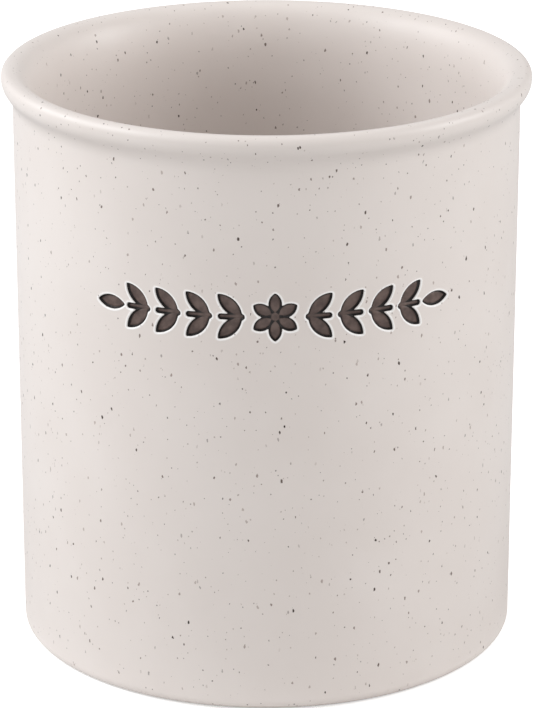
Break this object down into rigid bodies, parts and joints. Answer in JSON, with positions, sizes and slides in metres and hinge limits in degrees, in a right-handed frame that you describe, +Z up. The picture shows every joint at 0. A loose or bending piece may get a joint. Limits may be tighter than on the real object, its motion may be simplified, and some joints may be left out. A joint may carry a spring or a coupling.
{
  "type": "utensil crock",
  "caption": "Speckled stoneware utensil crock: open round jar with a rolled rim, a foot ring and a stamped leaf garland filled with dark stain.",
  "frame": {"origin": "centre of the jar's base, on the surface that the foot ring stands on", "axes": "+Z up along the jar's axis, -Y towards the front, where the garland is centred, +X to the viewer's right"},
  "size_m": [0.1592, 0.1592, 0.178],
  "materials": {
    "speckled_glaze": "satin matt off-white glaze with fine dark flecks, bare clay on the foot ring",
    "dark_stain": "matt dark brown stain pooled in the stamped recesses"
  },
  "bodies": {
    "root": {"crock_body": "speckled_glaze", "stain_flower": "dark_stain", "stain_left_end_leaf": "dark_stain", "stain_left_sprig_1": "dark_stain", "stain_left_sprig_2": "dark_stain", "stain_left_sprig_3": "dark_stain", "stain_left_sprig_4": "dark_stain", "stain_right_end_leaf": "dark_stain", "stain_right_sprig_1": "dark_stain", "stain_right_sprig_2": "dark_stain", "stain_right_sprig_3": "dark_stain", "stain_right_sprig_4": "dark_stain"}
  },
  "joints": []
}
